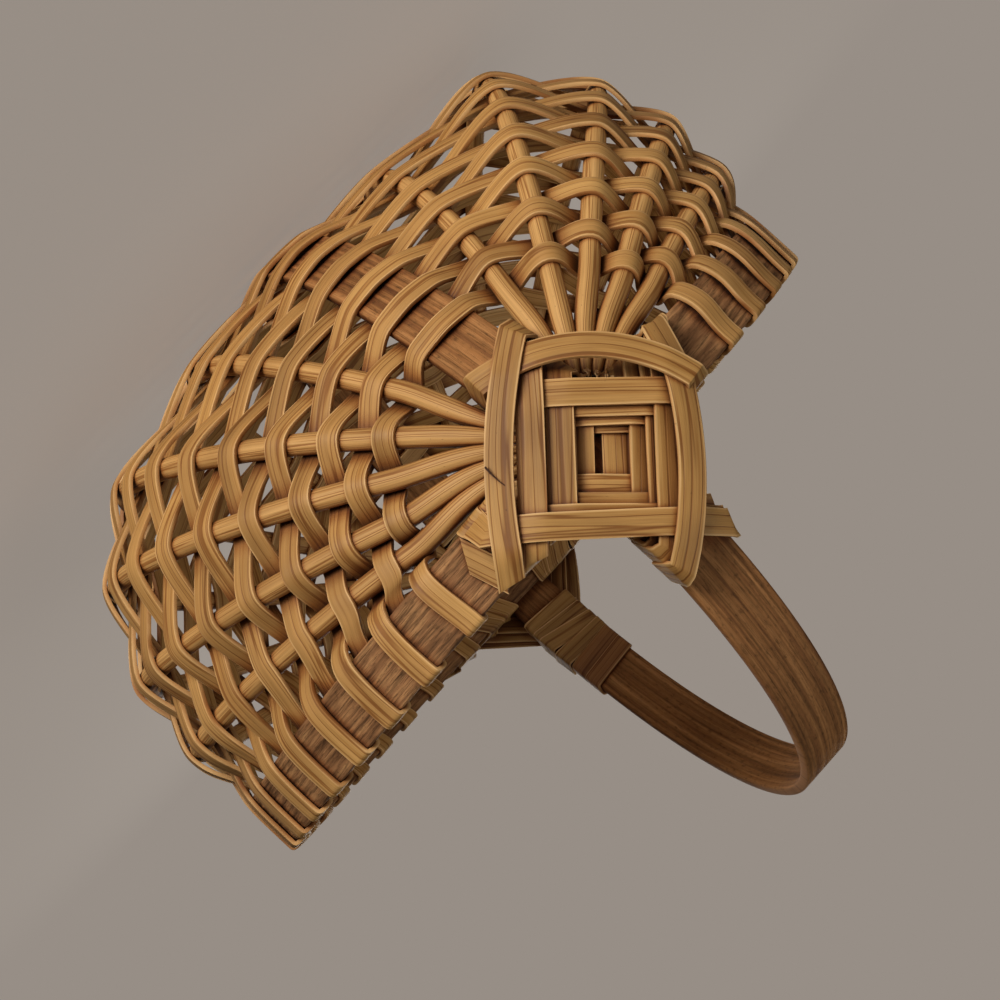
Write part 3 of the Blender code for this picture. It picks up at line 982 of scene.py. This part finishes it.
def handle_binding(name, mirror):
    """A reed wound round the handle beyond the lashing; its two ends are tucked under it."""
    out = half_width + lashing_thickness / 2 + touch_gap
    over = lashing_thickness / 2 + touch_gap
    under = -hoop_thickness - over - binding_depth
    loop = ((-out, over), (-out, under), (out, under), (out, over))
    nodes = [(binding_start, 0.0, over)]
    for turn in range(binding_turns):
        for corner, (sideways, height) in enumerate(loop):
            nodes.append((binding_start + binding_pitch * (turn + (corner + 0.5) / 4), sideways, height))
    nodes.append((binding_start + binding_pitch * binding_turns, 0.0, over))
    path = rounded([np.array(node) for node in nodes], binding_ease, binding_step)
    arm = arms[0]
    centres = arm.place(path[:, 0], path[:, 1], path[:, 2] + half_thickness) * mirror
    widths = arm.bow.tangent(path[:, 0]) * mirror
    return lay_strip(name, centres, widths, reed_width, lashing_thickness)


def tucked_end(name):
    """The slanting cut end of the reed, which lies across the rim under the last side."""
    arm = arms[3]
    reaches = np.linspace(tucked_from[0], tucked_to[0], 8)
    sideways = half_width - np.linspace(tucked_from[1], tucked_to[1], 8)
    distances = arm.distance(reaches)
    heights = np.full(len(reaches), half_thickness + lashing_thickness / 2 + touch_gap)
    centres = arm.place(distances, sideways, heights)
    widths = arm.bow.tangent(distances) * tucked_slant[0] + arm.arriving * tucked_slant[1]
    return lay_strip(name, centres, widths, tucked_width, lashing_thickness)


# %% Lashings
def show_lashing(end, mirror, extras=()):
    """The back lashing is the front one, mirrored."""
    centres = (inner_edge + outer_edge) / 2 * mirror
    widths = (outer_edge - inner_edge) * mirror
    width = np.linalg.norm(widths, axis=1)
    piece = lay_strip(f"lashing_{end}_reed", centres, widths, width, lashing_thickness)
    if extras:
        piece = joined([piece, *extras])
    return stand_for(piece, f"lashing_{end}")


def show_beside(piece):
    """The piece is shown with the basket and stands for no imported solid."""
    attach(piece, "root")


MIRRORED = np.array([-1.0, 1.0, 1.0])
lashings = [
    show_lashing("front", np.ones(3), [tucked_end("near_end")]),
    show_lashing("back", MIRRORED),
]
binding = handle_binding("binding_back_reed", MIRRORED)
show_beside(binding)
print("lashing vertices:", [len(piece.data.vertices) for piece in lashings + [binding]])

# %% [markdown]
# Where the left ribs are whittled, fibres stand out of the pocket, and one dark sliver lies on
# the lashing's side between the keel and the right rim. Hair particles could do it, but a few
# thin tapered rods keep the same places in every run.

# %% Loose fibres
fibre_reach = 0.0168
fibres_per_rib = 4
fibre_rise = 0.0024
fibre_spread = 0.0008
fibre_lean = 0.7
fibre_lengths = (0.0020, 0.0045)
fibre_bow = 0.0006
fibre_radius = 0.00034
fibre_taper = 0.7
fibre_sides = 6


def fibre(name, start, end, bow, radius):
    """A thin curved hair of wood from one point to another."""
    share = np.linspace(0.0, 1.0, 9)[:, None]
    centres = start + (end - start) * share + np.array(bow) * 4.0 * share * (1.0 - share)
    return lay_rod(name, centres, radius * (1.0 - fibre_taper * share[:, 0]), fibre_sides)


fibres = []
for number, bow in enumerate(ribs_left):
    near = rib_distance(-1.0, number, fibre_reach)
    for hair in range(fibres_per_rib):
        spread = chance.uniform(-fibre_spread, fibre_spread, 2)
        root = bow.point(near) + np.array([fibre_rise, *spread])
        towards = OUTWARDS - bow.tangent(near) + chance.uniform(-fibre_lean, fibre_lean, 3)
        end = root + unit(towards) * chance.uniform(*fibre_lengths)
        bend = chance.uniform(-fibre_bow, fibre_bow, 3)
        fibres.append(fibre(f"fibre_{len(fibres) + 1}", root, end, bend, fibre_radius))
loose = joined(fibres)
loose.name = "fibres_loose"
show_beside(loose)
print("loose fibres:", len(fibres))

# %% Dark sliver
sliver_from = np.array([0.0, 0.0219, -0.0130])
sliver_to = np.array([0.0, 0.0219, -0.0072])
sliver_radius = 0.0003
sliver_bow = (0.0, 0.0002, 0.0)

under_sliver = field_height(np.linspace(sliver_from, sliver_to, 20)).max()
rise = (under_sliver + sliver_radius) * OUTWARDS
sliver = fibre("sliver_dark", sliver_from + rise, sliver_to + rise, sliver_bow, sliver_radius)
show_beside(sliver)
print("sliver in mm:", round(1000 * np.linalg.norm(sliver_to - sliver_from), 1))

# %% [markdown]
# Now the looks. One function adds a node with its settings, its links and the stops of its ramp.
# The grain reads the UV map in metres, so it keeps its real size everywhere and bends with the
# reed. Only the broad patches of tone read Object coordinates.


# %% Colours and nodes
def colour(code):
    """A hex colour as it looks on a screen, as the linear values that shaders take."""
    parts = [int(code[start : start + 2], 16) / 255 for start in (1, 3, 5)]
    linear = [part / 12.92 if part <= 0.04045 else ((part + 0.055) / 1.055) ** 2.4 for part in parts]
    return (*linear, 1.0)


def add_node(tree, kind, links=(), stops=(), **settings):
    """Adds a node. A setting is one of its properties, or an input when it starts with in_.

    A link is an output and the input that it goes to. A stop is a place on the colour ramp and
    its hex colour or its grey value.
    """
    node = tree.nodes.new(kind)
    for name, value in settings.items():
        if name.startswith("in_"):
            key = int(name[3:]) if name[3:].isdigit() else name[3:].replace("_", " ")
            node.inputs[key].default_value = value
        else:
            setattr(node, name, value)
    for output, target in links:
        tree.links.new(output, node.inputs[target])
    for number, (place, shade) in enumerate(stops):
        points = node.color_ramp.elements
        point = points[number] if number < 2 else points.new(place)
        point.position = place
        point.color = colour(shade) if isinstance(shade, str) else (shade, shade, shade, 1.0)
    return node


def new_material(name):
    material = bpy.data.materials.new(name)
    material.use_nodes = True
    material.node_tree.nodes.clear()
    return material, material.node_tree


def grain_noises(tree, maps, layers):
    """Noise outputs by name; each layer repeats so many times per metre along and across."""
    noises = {}
    for name, source, scale, detail in layers:
        mapping = add_node(tree, "ShaderNodeMapping", [(maps[source], "Vector")], in_Scale=scale)
        noise = add_node(
            tree, "ShaderNodeTexNoise", [(mapping.outputs["Vector"], "Vector")],
            in_Scale=1.0, in_Detail=detail, in_Roughness=0.6,
        )
        noises[name] = noise.outputs["Fac"]
    return noises


def darkened(tree, shade, layers):
    """The shade times one ramp after another; a layer is its source, amount and stops."""
    tones = []
    for source, amount, stops in layers:
        tone = add_node(tree, "ShaderNodeValToRGB", [(source, "Fac")], stops).outputs["Color"]
        tones.append(tone)
        shade = add_node(
            tree, "ShaderNodeMix", [(shade, 6), (tone, 7)],
            data_type="RGBA", blend_type="MULTIPLY", in_0=amount,
        ).outputs[2]
    return shade, tones


# %% [markdown]
# Reed is the split core of rattan. It is dry and almost matt. Its vessels show as a few thin dark
# lines that run for centimetres, 1.6 to 2.6 mm apart, with finer fibres between them. The real
# fibres are 0.05 mm wide, too fine to show, so they are drawn at 0.2 mm. The tone drifts slowly
# along a reed, for no two canes are alike. Its edges are painted paler, partly as wear from
# handling and partly as a painted highlight. The places where reeds lie close together are
# painted darker by an ambient occlusion ramp, which is painted shade. An image of reed could give
# all this, but noise needs no file and never repeats.

# %% Reed material
# Painted shade: this ramp darkens the colour where other pieces lie close, by ambient occlusion.
crevice_shade = ((0.0, "#1A0A04"), (0.30, "#6A422A"), (0.58, "#C8A486"), (0.88, "#FFFFFF"))
# The pale edges are partly wear from handling and partly a painted highlight.
pale_edge_from = 0.0025
pale_edge_to = 0.0030


def reed_material(name, pale, middle, deep, line_spacing, line_depth, edge_wear_and_highlight):
    material, tree = new_material(name)
    maps = {
        "UV": add_node(tree, "ShaderNodeUVMap").outputs["UV"],
        "Object": add_node(tree, "ShaderNodeTexCoord").outputs["Object"],
    }
    noises = grain_noises(tree, maps, (
        ("drift", "UV", (8.0, 60.0, 1.0), 2.0),
        ("patches", "Object", (24.0, 24.0, 24.0), 3.0),
        ("lines", "UV", (9.0, 1.0 / line_spacing, 1.0), 1.0),
        ("streaks", "UV", (26.0, 2.2 / line_spacing, 1.0), 2.0),
        ("fibres", "UV", (60.0, 5200.0, 1.0), 3.0),
        ("specks", "UV", (700.0, 1500.0, 1.0), 2.0),
    ))
    links = [(noises["drift"], 2), (noises["patches"], 3)]
    tone = add_node(tree, "ShaderNodeMix", links, in_0=0.45).outputs[0]
    stops = ((0.34, deep), (0.66, pale), (0.50, middle))
    shade = add_node(tree, "ShaderNodeValToRGB", [(tone, "Fac")], stops).outputs["Color"]
    across = add_node(tree, "ShaderNodeSeparateXYZ", [(maps["UV"], "Vector")]).outputs["Y"]
    from_middle = add_node(tree, "ShaderNodeMath", [(across, 0)], operation="ABSOLUTE").outputs["Value"]
    # Painted highlight and wear: the colour turns paler towards both edges of the reed.
    edge = add_node(
        tree, "ShaderNodeMapRange", [(from_middle, "Value")], interpolation_type="SMOOTHSTEP",
        in_From_Min=pale_edge_from, in_From_Max=pale_edge_to, in_To_Max=edge_wear_and_highlight,
    )
    links = [(edge.outputs["Result"], 0), (shade, 6)]
    shade = add_node(tree, "ShaderNodeMix", links, data_type="RGBA", in_7=colour("#E3BC84")).outputs[2]
    # Painted shade: ambient occlusion darkens the reed's colour where other pieces lie close.
    closeness = add_node(tree, "ShaderNodeAmbientOcclusion", samples=8, in_Distance=0.006).outputs["AO"]
    line_stops = ((0.470, 1.0), (0.540, 1.0), (0.498, "#B29068"), (0.512, "#B29068"))
    streak_stops = ((0.33, "#DCCAAC"), (0.66, 1.10), (0.50, 0.96))
    shade, tones = darkened(tree, shade, (
        (noises["lines"], line_depth, line_stops),
        (noises["streaks"], 0.8 * line_depth, streak_stops),
        (noises["fibres"], 0.65, ((0.32, 0.78), (0.62, 1.10))),
        (noises["specks"], 0.60, ((0.22, 0.35), (0.29, 1.0))),
        (closeness, 0.95, crevice_shade),
    ))
    links = [(tones[0], 6), (noises["fibres"], 7)]
    height = add_node(tree, "ShaderNodeMix", links, data_type="RGBA", in_0=0.35).outputs[2]
    bump = add_node(tree, "ShaderNodeBump", [(height, "Height")], in_Strength=0.6, in_Distance=0.0002)
    rough_stops = ((0.3, 0.50), (0.7, 0.66))
    rough = add_node(tree, "ShaderNodeValToRGB", [(noises["fibres"], "Fac")], rough_stops).outputs["Color"]
    shader = add_node(
        tree, "ShaderNodeBsdfPrincipled",
        [(shade, "Base Color"), (rough, "Roughness"), (bump.outputs["Normal"], "Normal")],
        in_IOR=1.53, in_Specular_IOR_Level=0.35,
    )
    add_node(tree, "ShaderNodeOutputMaterial", [(shader.outputs["BSDF"], "Surface")])
    return material


# %% [markdown]
# The hoops are oak, riven along the grain and scraped by hand. Riven oak is matt and rough to the
# eye: long streaks a millimetre wide, open pores, and small chips where the knife lifted it. The
# handle has been smoothed by hands, so its streaks run longer and are weaker than the rim's.

# %% Hoop material
def hoop_material(name, pale, middle, deep, grain_length, streak_depth):
    material, tree = new_material(name)
    maps = {"UV": add_node(tree, "ShaderNodeUVMap").outputs["UV"]}
    noises = grain_noises(tree, maps, (
        ("broad", "UV", (0.6 / grain_length, 420.0, 1.0), 3.0),
        ("streaks", "UV", (1.0 / grain_length, 1100.0, 1.0), 3.0),
        ("pores", "UV", (160.0, 5200.0, 1.0), 3.0),
        ("chips", "UV", (420.0, 900.0, 1.0), 3.0),
    ))
    stops = ((0.30, deep), (0.66, pale), (0.48, middle))
    shade = add_node(tree, "ShaderNodeValToRGB", [(noises["broad"], "Fac")], stops).outputs["Color"]
    # Painted shade: ambient occlusion darkens the oak's colour where other pieces lie close.
    closeness = add_node(tree, "ShaderNodeAmbientOcclusion", samples=8, in_Distance=0.009).outputs["AO"]
    shade, tones = darkened(tree, shade, (
        (noises["streaks"], streak_depth, ((0.34, 0.42), (0.64, 1.20), (0.48, 0.90))),
        (noises["pores"], 0.70, ((0.33, 0.35), (0.42, 1.0))),
        (noises["chips"], 0.70, ((0.32, 0.45), (0.62, 1.15), (0.42, 1.0))),
        (closeness, 0.95, crevice_shade),
    ))
    links = [(tones[0], 6), (tones[1], 7)]
    height = add_node(tree, "ShaderNodeMix", links, data_type="RGBA", in_0=0.4).outputs[2]
    bump = add_node(tree, "ShaderNodeBump", [(height, "Height")], in_Strength=0.8, in_Distance=0.0004)
    shader = add_node(
        tree, "ShaderNodeBsdfPrincipled",
        [(shade, "Base Color"), (bump.outputs["Normal"], "Normal")],
        in_IOR=1.5, in_Roughness=0.75, in_Specular_IOR_Level=0.2,
    )
    add_node(tree, "ShaderNodeOutputMaterial", [(shader.outputs["BSDF"], "Surface")])
    return material


# %% All the finishes
def fibre_material(name, code):
    """A loose fibre is too thin to show any grain."""
    material, tree = new_material(name)
    shader = add_node(tree, "ShaderNodeBsdfPrincipled", in_Base_Color=colour(code), in_Roughness=0.7)
    add_node(tree, "ShaderNodeOutputMaterial", [(shader.outputs["BSDF"], "Surface")])
    return material


reed_tones = {
    "rib": ("round_reed_rib", "#DCB072", "#CA9E62", "#AC824C"),
    "weaver": ("flat_reed_weaver", "#D0A464", "#BA8E54", "#957040"),
    # Painted shade: the binding's tones are darker than the lashing's, because its wraps lie in shade.
    "binding": ("shaded_reed_binding", "#B88650", "#A06E40", "#7C5430"),
    "lashing": ("flat_reed_lashing", "#C89C5E", "#B0864C", "#8C6638"),
}
materials = {
    "handle": hoop_material("split_oak_handle", "#B28050", "#94663C", "#6E462A", 0.070, 0.62),
    "rim": hoop_material("split_oak_rim", "#AA8056", "#8A6342", "#64452C", 0.012, 0.90),
    "rib": reed_material(*reed_tones["rib"], 0.0016, 0.80, 0.0),
    "weaver": reed_material(*reed_tones["weaver"], 0.0026, 0.80, 0.75),
    "binding": reed_material(*reed_tones["binding"], 0.0024, 0.85, 0.60),
    "lashing": reed_material(*reed_tones["lashing"], 0.0024, 0.85, 0.75),
    "fibres": fibre_material("split_reed_fibre", "#E2BC88"),
    "sliver": fibre_material("dark_sliver", "#3E2312"),
}

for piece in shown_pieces():
    piece.data.materials.clear()
    piece.data.materials.append(materials[piece.name.split("_")[0]])
print("materials:", [material.name for material in materials.values()])

# %% [markdown]
# The basket stands on a pale floor. The floor is a wide disc whose far part takes the flat colour
# of the backdrop, so that no edge shows from any side. It throws no shadow itself, because the
# main light comes from where the keel points, the upper left of the photograph, and so from below.

# %% Floor
backdrop = "#978E86"
fade_from = 0.35
fade_to = 1.1
nothing_selected()
bpy.ops.mesh.primitive_circle_add(vertices=96, radius=6.0, fill_type="NGON")
floor = bpy.context.object
floor.name = "floor"
floor.visible_shadow = False
floor_material, tree = new_material("paper_floor")
place = add_node(tree, "ShaderNodeTexCoord").outputs["Object"]
away = add_node(tree, "ShaderNodeVectorMath", [(place, 0)], operation="LENGTH").outputs["Value"]
fade = add_node(
    tree, "ShaderNodeMapRange", [(away, "Value")], interpolation_type="SMOOTHSTEP",
    in_From_Min=fade_from, in_From_Max=fade_to,
)
paper = add_node(tree, "ShaderNodeBsdfPrincipled", in_Roughness=0.9, in_Base_Color=colour("#CCC4BC"))
far_paper = add_node(tree, "ShaderNodeEmission", in_Color=colour(backdrop), in_Strength=1.0)
lit_paper = add_node(tree, "ShaderNodeEmission", in_Color=colour(backdrop), in_Strength=1.22)
seen = add_node(tree, "ShaderNodeLightPath").outputs["Is Camera Ray"]
even = add_node(tree, "ShaderNodeMath", [(seen, 0)], operation="MULTIPLY", in_1=0.7).outputs["Value"]
near_paper = add_node(
    tree, "ShaderNodeMixShader",
    [(even, 0), (paper.outputs["BSDF"], 1), (lit_paper.outputs["Emission"], 2)],
)
both = add_node(
    tree, "ShaderNodeMixShader",
    [(fade.outputs["Result"], 0), (near_paper.outputs["Shader"], 1), (far_paper.outputs["Emission"], 2)],
)
add_node(tree, "ShaderNodeOutputMaterial", [(both.outputs["Shader"], "Surface")])
floor.data.materials.append(floor_material)
print("floor fades out at", fade_to, "m")

# %% World
world = bpy.data.worlds.new("studio")
bpy.context.scene.world = world
world.use_nodes = True
tree = world.node_tree
tree.nodes.clear()
soft_light = add_node(tree, "ShaderNodeBackground", in_Color=colour("#F2D0A6"), in_Strength=0.045)
seen = add_node(tree, "ShaderNodeBackground", in_Color=colour(backdrop), in_Strength=1.0)
camera_ray = add_node(tree, "ShaderNodeLightPath").outputs["Is Camera Ray"]
both = add_node(
    tree, "ShaderNodeMixShader",
    [(camera_ray, 0), (soft_light.outputs["Background"], 1), (seen.outputs["Background"], 2)],
)
add_node(tree, "ShaderNodeOutputWorld", [(both.outputs["Shader"], "Surface")])

# %% [markdown]
# The key lamp is large and near, so its shadows have soft edges. A weaker lamp above and one low
# at the back keep the other sides readable without putting pale edges on the near one.

# %% Lamps
lamp_aim = Vector((0.0, 0.0, 0.09))


def add_lamp(name, place, size, power, tint):
    """A square lamp that faces the basket."""
    nothing_selected()
    facing = (lamp_aim - Vector(place)).to_track_quat("-Z", "Y").to_euler()
    bpy.ops.object.light_add(type="AREA", location=place, rotation=facing)
    lamp = bpy.context.object
    lamp.name = name
    lamp.data.shape = "SQUARE"
    lamp.data.size = size
    lamp.data.energy = power
    lamp.data.color = colour(tint)[:3]
    print(name, "lamp:", power, "W,", size, "m wide")


add_lamp("key", (0.62, 0.22, -0.34), 0.36, 5.3, "#FFF6EA")
add_lamp("top", (0.42, -0.12, 0.75), 0.6, 1.6, "#FFFDF8")
add_lamp("back", (-1.00, -0.15, 0.22), 0.8, 4.0, "#FFFDF8")

# %% [markdown]
# The camera was solved from the photograph in units of the hoop's half length. It looks at one
# ear, a little from the right lobe, and is rolled so that the keel points to the upper left.

# %% Camera
camera_place = Vector((5.176, 1.065, 0.210)) * hoop_half_length + Vector((0.0, 0.0, rest_height))
right = Vector((0.0878, -0.6779, 0.7299))
down = Vector((-0.1851, 0.7088, 0.6807))
forward = right.cross(down).normalized()
turn = Matrix((right.normalized(), -down.normalized(), -forward)).transposed()
nothing_selected()
bpy.ops.object.camera_add(location=camera_place)
camera = bpy.context.object
camera.name = "photo_camera"
camera.rotation_euler = turn.to_euler()
camera.data.sensor_width = 36.0
camera.data.lens = 70.81
camera.data.clip_start = 0.01
camera.data.clip_end = 30.0
bpy.context.scene.camera = camera
bpy.context.scene.view_settings.view_transform = "Standard"
print("camera looks along", [round(part, 3) for part in forward])
